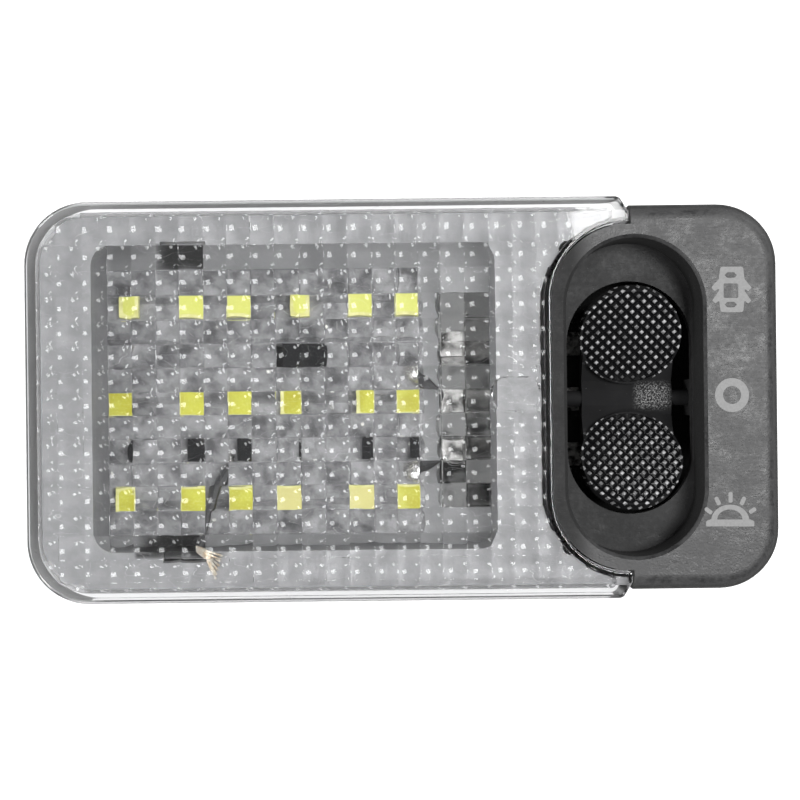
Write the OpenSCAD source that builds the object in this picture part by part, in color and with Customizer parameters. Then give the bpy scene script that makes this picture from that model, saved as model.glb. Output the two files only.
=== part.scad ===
// Car dome light: a black moulded housing, a clear lens with pillow optics on its
// inner face, a light grey reflector tray with an LED board, and a three-position
// rocker switch with a tilting contact blade over three terminals.
// The lamp lies on its back: Z = 0 is the back of the can, the lens faces +Z,
// and the switch is at the +X end. Millimetres.

/* [Overall] */
// Length over the lens end and the switch end
total_l = 120; // [112:1:140]
// Width over the lens
lens_w = 64; // [62:0.5:76]
// Width of the housing beside the switch
housing_w = 61.6; // [59:0.2:74]
// Radius of the four outer corners
corner_r = 10; // [8:0.5:12]
// Height of the lens above the plane that lies on the roof lining
bezel_h = 14; // [13.6:0.2:17]
// Depth of the can that goes into the roof opening
can_h = 12; // [11.6:0.2:16]

/* [Housing] */
// Rounding of the top edge of the switch deck
deck_round = 2.5; // [1.5:0.1:3]
// How far the switch deck lies below the lens face
deck_drop = 0.6; // [0.2:0.1:1]
// Thickness of the bezel plate and the rim wall
plate_t = 1.4; // [1.2:0.1:1.8]
// Thickness of the can's walls and floor
can_t = 1.6; // [1.2:0.1:2]
// Length of the can
can_l = 102; // [98:1:104]
// Width of the can
can_w = 43; // [41:0.5:45]
// Radius of the can's corners
can_r = 5; // [3:0.5:7]
// Height of the switch floor, where the terminals lie
switch_floor = 7.2; // [6.8:0.1:7.6]
// Radius of the two roof screw holes
screw_hole_r = 1.9; // [1.5:0.1:2.2]
// Distance between the two roof screw holes
screw_gap = 48; // [46:0.5:50]
// Place of the roof screw holes along the lamp
screw_x = -35; // [-38:0.5:-30]

/* [Well and rocker] */
// Place of the switch well along the lamp
well_x = 37; // [36:0.1:38]
// Radius of the well's round ends
well_r = 10.9; // [10.6:0.1:11.4]
// Half the distance between the centres of the well's round ends
well_half = 14.5; // [14:0.1:16]
// Depth of the well's floor below the deck
well_depth = 8; // [7.4:0.1:8.6]
// Radius of the round ends of the opening that the rocker stands in
slot_r = 10.3; // [10:0.1:10.5]
// Half the distance between the centres of that opening's round ends
slot_half = 8.9; // [8.7:0.1:10]
// Diameter of each finger pad
pad_d = 16.6; // [16:0.2:17.2]
// Distance of each pad's centre from the pivot, across the lamp
pad_y = 9.85; // [9.6:0.05:10.1]
// Tilt of each pad, outer edge high, in degrees
pad_tilt = 25; // [22:1:27]
// Pitch of the crossed grooves on the pads
knurl_pitch = 1.26; // [1.1:0.02:1.6]
// Depth of those grooves
knurl_depth = 0.5; // [0.3:0.05:0.55]
// Radius of the rocker's two pivot pins
pivot_r = 1.3; // [1.1:0.1:1.4]
// Radial clearance of the pivot pins and of the plunger
pin_clear = 0.06; // [0.04:0.01:0.1]

/* [Lens] */
// Thickness of the lens face
lens_t = 2; // [1.6:0.1:2.4]
// Thickness of the lens skirt
skirt_t = 1.6; // [1.4:0.1:2]
// Rounding of the lens's outer edge
lens_round = 1; // [0.6:0.1:1.4]
// Pitch of the pillow optics
pillow = 3.84; // [3.6:0.02:4.4]
// Height of each pillow from its corners to its middle
pillow_h = 0.6; // [0.3:0.05:0.7]
// Radius of the cut that the switch well stands in
cut_r = 12.25; // [12.1:0.05:12.6]
// Place of the centre of that cut along the lamp
cut_x = 35.9; // [35.5:0.1:36.5]
// Half the distance between the centres of the cut's round ends
cut_half = 15.5; // [15.3:0.1:16.5]
// Gap between the lens and what it clips round
lens_gap = 0.25; // [0.2:0.05:0.4]

/* [Reflector and board] */
// Thickness of the reflector's flange
flange_t = 1.2; // [1:0.1:1.5]
// Thickness of the reflector's walls and floor
tray_t = 1; // [0.8:0.1:1.2]
// Length of the board
board_l = 52.8; // [52.2:0.2:53.4]
// Width of the board
board_w = 45; // [44:0.2:45.4]
// Thickness of the board
board_t = 1; // [0.8:0.1:1.6]
// Thickness of the foam tape under the board
foam_t = 1; // [0.8:0.1:1.2]
// Place of the board's middle along the lamp
board_x = -22.3; // [-22.6:0.1:-22]
// Distance between the rows of light-emitting packages
row_pitch = 16.15; // [15.5:0.05:17]
// Length of a light-emitting package
led_l = 3.5; // [3.2:0.1:3.8]
// Width of a light-emitting package
led_w = 2.8; // [2.6:0.1:3.2]
// Height of a light-emitting package
led_h = 0.8; // [0.6:0.1:1]

/* [Switch parts] */
// Thickness of the terminals and of the contact blade
metal_t = 0.6; // [0.5:0.05:0.7]
// Width of each terminal strip
strip_w = 4; // [3.4:0.1:4.4]
// Distance between neighbouring terminals
terminal_gap = 9.5; // [9.2:0.1:10]
// Width of the flat pins in the plug socket
tab_w = 2.8; // [2.4:0.1:3]
// Length of the plug socket across the lamp
socket_l = 27; // [26:0.5:28]
// Width of the plug socket
socket_w = 11; // [10.5:0.5:12]
// Depth of the plug socket
socket_h = 5.8; // [5.4:0.1:6]
// Radius of the spring plunger
plunger_r = 1.2; // [1:0.1:1.3]
// Wire radius of the plunger spring
spring_wire = 0.12; // [0.1:0.01:0.14]

/* [Hidden] */
$fn = 64;
eps = 0.01;

// Levels, from the back upwards
bezel_z = can_h;
plate_z = bezel_z + plate_t;
lens_z = bezel_z + bezel_h;
deck_z = lens_z - deck_drop;
lens_in_z = lens_z - lens_t;
pillow_z = lens_in_z - 0.05;
well_z = deck_z - well_depth;
well_floor_t = 1.8;
flange_z = lens_in_z - pillow_h - 1.8;
rim_top_z = flange_z - flange_t;
tray_z = plate_z;
foam_z = tray_z + tray_t;
board_z = foam_z + foam_t;
board_top = board_z + board_t;
led_top = board_top + led_h;

// Outlines
end_x = total_l / 2;
lens_end_x = cut_x + 0.35;
housing_gap = 0.8;
rim_in = skirt_t + lens_gap;
rim_l = total_l - 2 * rim_in;
rim_w = lens_w - 2 * rim_in;
cut_wall = 0.9;

// Reflector recess
recess_x0 = -50;
recess_x1 = 15.2;
recess_y0 = -24;
recess_y1 = 25.2;
recess_r = 3;
window_x0 = 4.8;
window_x1 = 14.8;
window_y0 = -17.5;
window_y1 = 18.4;
slot_l = 7.4;
slot_w = 4.2;

// Rocker and its neighbours
pivot_x = 37.4;
pivot_z = well_z - 4;
pad_z = well_z + 1.6;
pad_t = 2.2;
pad_rim = 0.35;
body_half = 7.5;
body_bottom = pivot_z - 1.6;
boss_r = 2.3;
boss_drop = 0.8;
ear_t = 2;
ear_x = slot_r + 0.1;
pin_reach = ear_x + ear_t - 0.3;

// Contact blade and terminals
strip_top = switch_floor + metal_t;
button_h = 0.4;
button_r = 1.1;
blade_throw = 5;
blade_z = strip_top + 1.6;
blade_half = terminal_gap + 1.5;
blade_w = 4.4;
blade_axis_z = blade_z - 0.2;
plunger_tip_z = blade_z + metal_t + 0.15;
plunger_top_z = plunger_tip_z + 2.3;
bore_top_z = plunger_top_z + 1.6;
strip_x0 = 6.5;
tab_post_x = 9;
tab_x = pivot_x + 0.4;
socket_x = tab_x;

// Columns of the light-emitting packages, left to right, and how far the
// hand-placed packages of each row stray from them along the lamp
led_x = [-45.6, -34.6, -26.6, -17.5, -6.4, 1.4];
led_stray = [
    [0.9, 0, 0, 0.7, 0, 0],
    [-0.5, 0, 0, -0.3, 0.8, 0],
    [0.4, 0, 0, -1.2, -0.4, 0]
];
led_window_l = 2.9;
led_window_w = 2.3;

// Chip resistors under the columns, between the second and third rows
resistor_y = -7.2;
resistor_l = 3.2;
resistor_w = 1.6;
resistor_h = 0.6;

// A rectangle with round corners, its middle at the origin
module round_rect(l, w, r) {
    square([l - 2 * r, w], center = true);
    square([l, w - 2 * r], center = true);
    for (sx = [-1, 1], sy = [-1, 1])
        translate([sx * (l / 2 - r), sy * (w / 2 - r)]) circle(r);
}

// A slot with round ends that runs across the lamp
module stadium(r, half) {
    square([2 * r, 2 * half], center = true);
    for (s = [-1, 1]) translate([0, s * half]) circle(r);
}

// The section of a slab of width w with its two top edges rounded
module soft_section(w, h, edge) {
    translate([-w / 2, 0]) square([w, h - edge]);
    translate([edge - w / 2, 0]) square([w - 2 * edge, h]);
    for (s = [-1, 1]) translate([s * (w / 2 - edge), h - edge]) circle(edge);
}

// A slab with round corners and a rounded top edge, from z = 0 to h
module soft_slab(l, w, h, r, edge) {
    rotate([90, 0, 0]) linear_extrude(w - 2 * r, center = true) soft_section(l, h, edge);
    rotate([90, 0, 90]) linear_extrude(l - 2 * r, center = true) soft_section(w, h, edge);
    for (sx = [-1, 1], sy = [-1, 1])
        translate([sx * (l / 2 - r), sy * (w / 2 - r), 0]) rotate_extrude()
            intersection() {
                soft_section(2 * r, h, edge);
                square([r, h]);
            }
}

// The upright prism of the cut in the lens, grown by a margin
module cut_prism(z0, z1, grow = 0) {
    translate([cut_x, 0, z0]) linear_extrude(z1 - z0) {
        stadium(cut_r + grow, cut_half);
        translate([0, -lens_w]) square([total_l, 2 * lens_w]);
    }
}

// Housing

module deck() {
    // The deck is what the lens's cut leaves free, less the gap
    difference() {
        translate([housing_gap / 2, 0, bezel_z])
            soft_slab(total_l - housing_gap, housing_w, deck_z - bezel_z,
                corner_r - housing_gap / 2, deck_round);
        translate([0, 0, plate_z]) linear_extrude(deck_z) difference() {
            translate([-total_l, -lens_w])
                square([total_l + lens_end_x + lens_gap, 2 * lens_w]);
            translate([cut_x, 0]) stadium(cut_r - lens_gap, cut_half);
        }
    }
}

module rim_wall() {
    // The wall inside the lens skirt that carries the reflector's flange
    difference() {
        translate([0, 0, bezel_z]) linear_extrude(rim_top_z - bezel_z)
            round_rect(rim_l, rim_w, corner_r - rim_in);
        translate([0, 0, plate_z]) linear_extrude(lens_z)
            round_rect(rim_l - 2 * plate_t, rim_w - 2 * plate_t,
                corner_r - rim_in - plate_t);
        cut_prism(plate_z, lens_z, -lens_gap + eps);
    }
}

module latch_windows() {
    for (x = [-38, 8], s = [-1, 1])
        translate([x, s * (rim_w / 2 - plate_t / 2), latch_z])
            cube([latch_l + 0.6, 3 * plate_t, latch_h + 0.4], center = true);
}

latch_l = 7;
latch_h = 1.4;
latch_z = plate_z + 3;

module can() {
    translate([can_mid_x, 0, 0]) linear_extrude(bezel_z + eps)
        round_rect(can_l, can_w, can_r);
}

can_mid_x = 1;
can_x0 = can_mid_x - can_l / 2;
can_x1 = can_mid_x + can_l / 2;
bay_x0 = 3;
core_wall = 1.5;

module can_hollow() {
    // Deep hollow under the board, and the shallower bay of the switch
    translate([can_x0 + can_t, -can_w / 2 + can_t, can_t])
        cube([bay_x0 - can_x0 - can_t - can_t, can_w - 2 * can_t, plate_z]);
    translate([bay_x0, -can_w / 2 + can_t, switch_floor])
        cube([can_x1 - can_t - bay_x0, can_w - 2 * can_t,
            well_z - well_floor_t - switch_floor]);
}

module can_cores() {
    // Cored pockets in the back, beside the plug socket
    core_l = (socket_x - socket_w / 2 - 2 * core_wall - bay_x0 - core_wall) / 3;
    core_w = (can_w - 2 * can_t - 3 * core_wall) / 4;
    for (i = [0:2], j = [0:3])
        translate([bay_x0 + core_wall + i * (core_l + core_wall),
            (j - 2) * (core_w + core_wall) + core_wall / 2, -eps])
            cube([core_l, core_w, switch_floor - can_t + eps]);
}

module plug_socket() {
    translate([socket_x, 0, -eps]) linear_extrude(socket_h + eps)
        round_rect(socket_w, socket_l, 1.5);
    // Key slot that lets the plug in one way round
    translate([socket_x + socket_w / 2, 0, (socket_h - eps) / 2])
        cube([2, 5, socket_h + eps], center = true);
}

module ears() {
    for (s = [-1, 1]) difference() {
        translate([pivot_x + s * (ear_x + ear_t / 2), 0,
            (well_z - well_floor_t + eps + pivot_z - pivot_r - 1.4) / 2])
            cube([ear_t, 2 * pivot_r + 3.4,
                well_z - well_floor_t - pivot_z + pivot_r + 1.4 + eps], center = true);
    }
}

module housing() {
    color([0.1, 0.1, 0.11]) difference() {
        union() {
            difference() {
                union() {
                    deck();
                    rim_wall();
                    can();
                }
                can_hollow();
            }
            ears();
        }
        can_cores();
        plug_socket();
        latch_windows();
        // The well, its softened mouth and the opening for the rocker
        translate([well_x, 0, well_z]) linear_extrude(deck_z) stadium(well_r, well_half);
        translate([well_x, 0, deck_z - 0.5]) well_mouth(0.5);
        translate([pivot_x, 0, well_z - well_floor_t - eps]) linear_extrude(deck_z)
            stadium(slot_r, slot_half);
        // Pivot bore through both ears
        translate([pivot_x, 0, pivot_z]) rotate([0, 90, 0])
            cylinder(r = pivot_r + pin_clear, h = 2 * pin_reach + 0.2, center = true);
        // Roof screw holes
        for (s = [-1, 1]) translate([screw_x, s * screw_gap / 2, bezel_z - 1])
            cylinder(r = screw_hole_r, h = plate_t + 2);
        // Slots that the terminal pins pass through
        for (k = [-1, 0, 1]) translate([tab_x, k * terminal_gap, switch_floor])
            cube([metal_t, tab_w, 4 * can_t], center = true);
        // Cored strip behind the deck's end wall
        translate([can_x1 + plate_t, -housing_w / 2 + corner_r, bezel_z - eps])
            cube([end_x - 2.4 - can_x1 - plate_t, housing_w - 2 * corner_r,
                deck_z - 2.2 - bezel_z]);
    }
}

module well_mouth(chamfer) {
    for (s = [-1, 1]) translate([0, s * well_half, 0])
        cylinder(r1 = well_r, r2 = well_r + chamfer + eps, h = chamfer + eps);
    rotate([90, 0, 0]) linear_extrude(2 * well_half, center = true)
        polygon([[-well_r, 0], [well_r, 0], [well_r + chamfer + eps, chamfer + eps],
            [-well_r - chamfer - eps, chamfer + eps]]);
}

// Lens

module lens_shell() {
    difference() {
        translate([0, 0, plate_z])
            soft_slab(total_l, lens_w, lens_z - plate_z, corner_r, lens_round);
        // Hollow, closed towards the switch by the wall along the cut
        difference() {
            translate([0, 0, plate_z - eps]) linear_extrude(lens_in_z - plate_z + eps)
                round_rect(total_l - 2 * skirt_t, lens_w - 2 * skirt_t, corner_r - skirt_t);
            cut_prism(plate_z, lens_z, cut_wall);
        }
        cut_prism(plate_z - 1, lens_z + 1);
    }
}

field_margin = 0.9;
field_x0 = -56.9;
field_cols = 26;
field_rows = 15;
field_y0 = -field_rows * pillow / 2;

// A cell belongs to the sheet if its corners lie inside the skirt and clear of the cut
function in_corner(x, y) = let (r = corner_r - skirt_t - field_margin,
        cx = total_l / 2 - skirt_t - field_margin - r,
        cy = lens_w / 2 - skirt_t - field_margin - r)
    -x < cx || abs(y) < cy || norm([-x - cx, abs(y) - cy]) < r;
function off_cut(x, y) = let (r = cut_r + cut_wall + 0.3, s = max(abs(y) - cut_half, 0))
    x < cut_x && norm([x - cut_x, s]) > r;
function in_field(i, j) = i >= 0 && j >= 0 && i < field_cols && j < field_rows &&
    len([for (a = [0, 1], b = [0, 1])
        let (x = field_x0 + (i + a) * pillow, y = field_y0 + (j + b) * pillow)
        if (in_corner(x, y) && off_cut(x, y)) 1]) == 4;

// The sheet of domed cells: eight facets to a cell below, a flat top in the lens
// face, and upright walls wherever a cell has no neighbour
module pillow_field() {
    row = 2 * field_cols + 1;
    layer = row * (2 * field_rows + 1);
    under = [
        for (j = [0:2 * field_rows], i = [0:2 * field_cols])
            [field_x0 + i * pillow / 2, field_y0 + j * pillow / 2,
                pillow_z - pillow_h * ((i % 2) + (j % 2)) / 2]
    ];
    top = [for (p = under) [p[0], p[1], lens_in_z + lens_t / 2]];
    cells = [
        for (j = [0:field_rows - 1], i = [0:field_cols - 1]) if (in_field(i, j)) [i, j]
    ];
    domes = [
        for (c = cells)
            let (m = (2 * c[1] + 1) * row + 2 * c[0] + 1,
                ring = [m - row - 1, m - row, m - row + 1, m + 1,
                    m + row + 1, m + row, m + row - 1, m - 1])
            for (k = [0:7], lid = [0, 1])
                lid == 0 ? [m, ring[k], ring[(k + 1) % 8]]
                    : [layer + m, layer + ring[(k + 1) % 8], layer + ring[k]]
    ];
    walls = [
        for (c = cells, side = [[0, -1], [1, 0], [0, 1], [-1, 0]])
            if (!in_field(c[0] + side[0], c[1] + side[1]))
                let (m = (2 * c[1] + 1) * row + 2 * c[0] + 1,
                    out = m + side[0] + side[1] * row,
                    turn = side[1] == 0 ? side[0] * row : -side[1])
                for (h = [0, 1])
                    let (a = h == 0 ? out - turn : out, b = h == 0 ? out : out + turn)
                    [b, a, layer + a, layer + b]
    ];
    polyhedron(concat(under, top), concat(domes, walls));
}

gate_x = 18;
gate_y = 0.7;
gate_l = 8;
gate_w = 5.9;

module latches() {
    for (x = [-38, 8], s = [-1, 1])
        translate([x, s * (lens_w / 2 - skirt_t), latch_z]) rotate([0, 90, 0])
            linear_extrude(latch_l, center = true)
                polygon([[-latch_h / 2, 0.2 * s], [latch_h / 2, 0.2 * s],
                    [latch_h / 2, 0], [0, -s * 0.9], [-latch_h / 2, -s * 0.9]]);
}

// What the slanted tip of each horn leaves away
module horn_tip() {
    w = lens_w / 2;
    translate([cut_x, w, 0]) linear_extrude(lens_z + 1)
        polygon([[-1.4, eps], [-0.5, -1], [eps, -2.6], [1, -2.6], [1, 1], [-1.4, 1]]);
}

module lens() {
    color([0.85, 0.86, 0.88, 0.5]) {
        difference() {
            union() {
                lens_shell();
                pillow_field();
            }
            for (s = [-1, 1]) mirror([0, s > 0 ? 0 : 1, 0]) horn_tip();
            // Flat round-cornered mark where the plastic was let in
            translate([gate_x, gate_y, lens_in_z - 2]) linear_extrude(2)
                round_rect(gate_l, gate_w, 2.6);
        }
        translate([gate_x, gate_y, lens_in_z - 0.45]) linear_extrude(0.6)
            round_rect(gate_l - 0.3, gate_w - 0.3, 2.45);
        latches();
    }
}

// Reflector, board and what it carries

module reflector() {
    tray_mid = [(recess_x0 + recess_x1) / 2, (recess_y0 + recess_y1) / 2];
    tray_l = recess_x1 - recess_x0;
    tray_w = recess_y1 - recess_y0;
    color([0.75, 0.75, 0.76]) difference() {
        union() {
            difference() {
                translate([0, 0, rim_top_z]) linear_extrude(flange_t)
                    round_rect(rim_l, rim_w, corner_r - rim_in);
                cut_prism(0, lens_z, cut_wall + lens_gap);
            }
            translate([tray_mid[0], tray_mid[1], tray_z]) linear_extrude(flange_z - tray_z)
                round_rect(tray_l + 2 * tray_t, tray_w + 2 * tray_t, recess_r + tray_t);
        }
        translate([tray_mid[0], tray_mid[1], tray_z + tray_t]) linear_extrude(lens_z)
            round_rect(tray_l, tray_w, recess_r);
        // Window over the terminals
        translate([window_x0, window_y0, tray_z - 1])
            cube([window_x1 - window_x0, window_y1 - window_y0, tray_t + 2]);
        // Slots over the roof screw holes
        for (s = [-1, 1]) translate([screw_x, s * screw_gap / 2, flange_z])
            cube([slot_l, slot_w, 3 * flange_t], center = true);
    }
}

module foam_tape() {
    color([0.85, 0.85, 0.82]) for (s = [-1, 1])
        translate([board_x, s * row_pitch / 2, foam_z + foam_t / 2])
            cube([board_l - 6, row_pitch - 3, foam_t], center = true);
}

module board() {
    color([0.55, 0.56, 0.57]) translate([board_x, 0, board_z]) linear_extrude(board_t)
        round_rect(board_l, board_w, 0.6);
}

module at_led(row, col) {
    translate([led_x[col - 1] + led_stray[row - 1][col - 1], (2 - row) * row_pitch,
        board_top]) children();
}

module led(row, col) {
    // Moulded package with end contacts and a cup for the yellow window
    color([0.9, 0.9, 0.86]) at_led(row, col) difference() {
        translate([0, 0, led_h / 2]) cube([led_l, led_w, led_h], center = true);
        translate([0, 0, led_h - 0.35]) linear_extrude(1)
            round_rect(led_window_l, led_window_w, 0.3);
        translate([led_l / 2, led_w / 2, led_h]) rotate([0, 0, 45])
            cube([0.7, 0.7, led_h], center = true);
    }
}

module led_windows() {
    color([0.87, 0.85, 0.3]) for (row = [1:3], col = [1:6])
        at_led(row, col) translate([0, 0, led_h - 0.35]) linear_extrude(0.35 - 0.02)
            round_rect(led_window_l, led_window_w, 0.3);
}

module resistor(col) {
    color([0.08, 0.08, 0.09]) translate([led_x[col - 1] + 0.3, resistor_y, board_top])
        translate([0, 0, resistor_h / 2]) cube([resistor_w, resistor_l, resistor_h], center = true);
}

diode_x = -15.8;
diode_y = 7.2;

module diode() {
    color([0.05, 0.05, 0.06]) translate([diode_x, diode_y, board_top]) {
        translate([0, 0, 0.15]) linear_extrude(2) square([7, 3.8], center = true);
        linear_extrude(0.3) square([8.4, 2.2], center = true);
    }
}

joint_r = 1.1;
joints = [[-28.7, -9.2], [-44.2, 9], [1.6, -11.8], [1.6, 4.2]];

module solder_joints() {
    color([0.8, 0.8, 0.78]) for (p = joints)
        translate([p[0], p[1], board_top]) difference() {
            sphere(r = joint_r, $fn = 32);
            translate([0, 0, -2]) cube(4, center = true);
        }
}

// A wire through a list of points: rings of corners joined by flat sides
function ring_axis(p, i) = let (a = p[max(i - 1, 0)], b = p[min(i + 1, len(p) - 1)])
    (b - a) / norm(b - a);
function across(t) = let (u = cross(t, [0, 0, 1])) u / norm(u);

module wire(p, r, sides = 8) {
    n = len(p);
    rings = [
        for (i = [0:n - 1])
            let (t = ring_axis(p, i), u = across(t), v = cross(t, u))
            for (k = [0:sides - 1])
                p[i] + r * (u * cos(360 * k / sides) + v * sin(360 * k / sides))
    ];
    walls = [
        for (i = [0:n - 2], k = [0:sides - 1])
            let (a = i * sides + k, b = i * sides + (k + 1) % sides)
            for (f = [[a, b + sides, b], [a, a + sides, b + sides]]) f
    ];
    polyhedron(rings, concat(walls, [[for (k = [0:sides - 1]) k]],
        [[for (k = [0:sides - 1]) n * sides - 1 - k]]));
}

wire_r = 0.55;

// Insulated wires from the board to the terminals' upright ends
supply_route = [[2.9, -11.6, 17.1], [4, -11.2, 18], [5.4, -10.4, 17.6], [7.2, -9.6, 16.1]];
return_route = [[2.9, 4, 17.1], [4, 3.2, 18], [5.6, 1.4, 17.6], [7.2, 0.2, 16.1]];
ground_route = [[-29.2, -10.6, 17.3], [-30.2, -12.6, 18.4], [-32, -20.2, 19.4],
    [-33.6, -23.4, 19.6]];

module insulated_wire(route) {
    color([0.12, 0.12, 0.13]) wire(route, wire_r);
}

// Loose bare strands that fan out over the flange from the ground wire's slot
module wire_strands() {
    color([0.85, 0.66, 0.48]) for (k = [0:6]) {
        a = [-33.6 + 0.02 * k, -23.2 - 0.12 * k, flange_z + 0.35];
        b = [-32.2 + 0.1 * k, -23.7 - 0.32 * k, flange_z + 0.3 + 0.1 * (k % 2)];
        c = [-29.4 - 0.16 * k, -24.6 - 0.62 * k, flange_z + 0.2 + 0.12 * (k % 3)];
        wire([a, b, c], 0.16, 6);
    }
}

// Switch

module pad(s) {
    translate([0, s * pad_y, pad_z]) rotate([s * pad_tilt, 0, 0]) difference() {
        translate([0, 0, -pad_t]) cylinder(r = pad_d / 2, h = pad_t);
        intersection() {
            grooves();
            cylinder(r = pad_d / 2 - pad_rim, h = 2 * knurl_depth + 1, center = true);
        }
    }
}

module grooves() {
    n = ceil(pad_d / 2 / knurl_pitch);
    side = knurl_depth * sqrt(2);
    for (turn = [45, 135], i = [-n:n])
        rotate([0, 0, turn]) translate([i * knurl_pitch, 0, 0]) rotate([0, 45, 0])
            cube([side, pad_d + 2, side], center = true);
}

module rocker() {
    under = pad_t / 2;
    inner = pad_y - (pad_d / 2) * cos(pad_tilt);
    inner_z = pad_z - (pad_d / 2) * sin(pad_tilt);
    color([0.06, 0.06, 0.065]) difference() {
        union() {
            pad(1);
            pad(-1);
            // Body with the saddle between the pads
            rotate([90, 0, 90])
                linear_extrude(2 * body_half, center = true) polygon([
                    [-6, body_bottom], [6, body_bottom],
                    [pad_y + 4.6, pad_z - 0.4], [pad_y + 4, pad_z + 0.6],
                    [inner + 0.5, inner_z - under], [1.2, inner_z - 0.7],
                    [-1.2, inner_z - 0.7], [-inner - 0.5, inner_z - under],
                    [-pad_y - 4, pad_z + 0.6], [-pad_y - 4.6, pad_z - 0.4]]);
            // Boss that lengthens the plunger's bore
            translate([0, 0, body_bottom - boss_drop]) cylinder(r = boss_r, h = boss_drop + 1);
            translate([0, 0, pivot_z]) rotate([0, 90, 0])
                cylinder(r = pivot_r, h = 2 * pin_reach - 0.4, center = true);
        }
        // Blind bore for the spring and the plunger
        translate([0, 0, body_bottom - boss_drop - 1])
            cylinder(r = plunger_r + pin_clear, h = bore_top_z - body_bottom + boss_drop + 1);
    }
}

module plunger() {
    color([0.85, 0.84, 0.8]) translate([pivot_x, 0, 0]) {
        translate([0, 0, plunger_tip_z + plunger_r])
            cylinder(r = plunger_r, h = plunger_top_z - plunger_tip_z - plunger_r);
        translate([0, 0, plunger_tip_z + plunger_r]) sphere(r = plunger_r);
    }
}

// Spring as closed turns stacked at the pitch that fills the bore
module plunger_spring() {
    r = plunger_r - spring_wire - 0.1;
    free = bore_top_z - plunger_top_z - 2 * spring_wire;
    turns = 4;
    color([0.7, 0.7, 0.72]) translate([pivot_x, 0, plunger_top_z + spring_wire])
        for (i = [0:turns - 1]) translate([0, 0, i * free / (turns - 1)])
            rotate_extrude() translate([r, 0]) circle(spring_wire, $fn = 16);
}

module contact_blade() {
    color([0.8, 0.65, 0.35]) translate([pivot_x, 0, blade_z]) {
        difference() {
            translate([0, 0, metal_t / 2]) cube([blade_w, 2 * blade_half, metal_t], center = true);
            translate([0, 0, blade_axis_z - blade_z - 0.3]) rotate([0, 90, 0])
                cylinder(r = 0.7, h = blade_w + 1, center = true);
        }
        for (s = [-1, 1]) translate([0, s * terminal_gap, -button_h])
            cylinder(r = button_r, h = button_h + eps);
    }
}

// One terminal: a strip on the switch floor, a solder end bent up under the
// reflector's window, and a flat pin that goes down into the plug socket
module terminal(k) {
    y = k * terminal_gap;
    color([0.78, 0.76, 0.7]) translate([0, y, 0]) {
        translate([strip_x0, -strip_w / 2, switch_floor])
            cube([pivot_x + 2.4 - strip_x0, strip_w, metal_t]);
        translate([strip_x0, -strip_w / 2, switch_floor])
            cube([metal_t, strip_w, board_z - switch_floor]);
        translate([strip_x0, -strip_w / 2, board_z - metal_t])
            cube([tab_post_x - strip_x0, strip_w, metal_t]);
        translate([tab_x - metal_t / 2, -tab_w / 2 + 0.05, 1])
            cube([metal_t, tab_w - 0.1, switch_floor - 1 + eps]);
    }
}

module common_terminal() {
    terminal(0);
    // Upright saddle that the contact blade tilts on
    color([0.78, 0.76, 0.7]) translate([pivot_x, 0, 0]) {
        translate([0, 0, (strip_top + blade_z - 0.9) / 2])
            cube([blade_w - 1, 1, blade_z - 0.9 - strip_top + 2 * eps], center = true);
        translate([0, 0, blade_z - 0.95]) rotate([0, 90, 0])
            cylinder(r = 0.6, h = blade_w - 1, center = true, $fn = 32);
    }
}

module outer_terminal(k) {
    terminal(k);
    color([0.78, 0.76, 0.7]) translate([pivot_x, k * terminal_gap, strip_top - eps])
        cylinder(r = button_r, h = button_h - 0.1);
}

housing();
lens();
reflector();
foam_tape();
board();
for (row = [1:3], col = [1:6])
    led(row, col);
led_windows();
for (col = [1:6])
    resistor(col);
diode();
solder_joints();
insulated_wire(supply_route);  // supply_wire
insulated_wire(return_route);  // return_wire
insulated_wire(ground_route);  // ground_wire
wire_strands();
translate([pivot_x, 0, 0]) rocker();
plunger();
plunger_spring();
contact_blade();
common_terminal();
outer_terminal(1);  // door_terminal
outer_terminal(-1);  // lamp_terminal
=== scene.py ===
# %% [markdown]
# # A car's dome light, dressed for a photograph
# The CAD model gives the lamp its solids: housing, lens, reflector, board, packages, rocker and
# switch. This lesson loads them as a fixed frame, gives each one a worked-out finish, and makes
# what a CAD solid can't show well: the smooth pillows inside the clear lens, the printed signs
# and a drop of solder. Lengths in this file are millimetres until a mesh is made.

# %% Load the frame
import math
from bisect import bisect

import bmesh
import bpy
import numpy as np
from mathutils import Matrix, Vector, noise
from mathutils.geometry import delaunay_2d_cdt


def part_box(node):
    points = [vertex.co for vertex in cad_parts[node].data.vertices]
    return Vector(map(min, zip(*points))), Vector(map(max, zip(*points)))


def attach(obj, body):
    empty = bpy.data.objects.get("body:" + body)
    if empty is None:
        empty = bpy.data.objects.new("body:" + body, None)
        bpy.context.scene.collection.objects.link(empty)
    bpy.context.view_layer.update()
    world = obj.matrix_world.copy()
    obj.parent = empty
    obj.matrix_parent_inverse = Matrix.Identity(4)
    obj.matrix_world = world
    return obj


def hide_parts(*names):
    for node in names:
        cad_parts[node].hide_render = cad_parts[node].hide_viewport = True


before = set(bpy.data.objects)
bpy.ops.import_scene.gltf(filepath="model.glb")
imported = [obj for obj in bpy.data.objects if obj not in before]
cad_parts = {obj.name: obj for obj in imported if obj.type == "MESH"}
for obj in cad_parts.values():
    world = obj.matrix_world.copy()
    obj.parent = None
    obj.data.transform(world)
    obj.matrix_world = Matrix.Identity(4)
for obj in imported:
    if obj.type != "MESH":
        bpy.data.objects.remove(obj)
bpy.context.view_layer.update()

MM = 0.001

# %% [markdown]
# ## Where the photograph was taken from
# The camera stood about 200 mm above the lens, looking straight down, a little turned and a little
# below the middle of the lamp. Two numbers tie a pixel to the lamp: the scale on the lens face and
# the spot right under the camera. A pixel of the photograph can then be laid on any level of the
# lamp, which is how the pillows, the printed signs and the drop of solder find their places.

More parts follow.
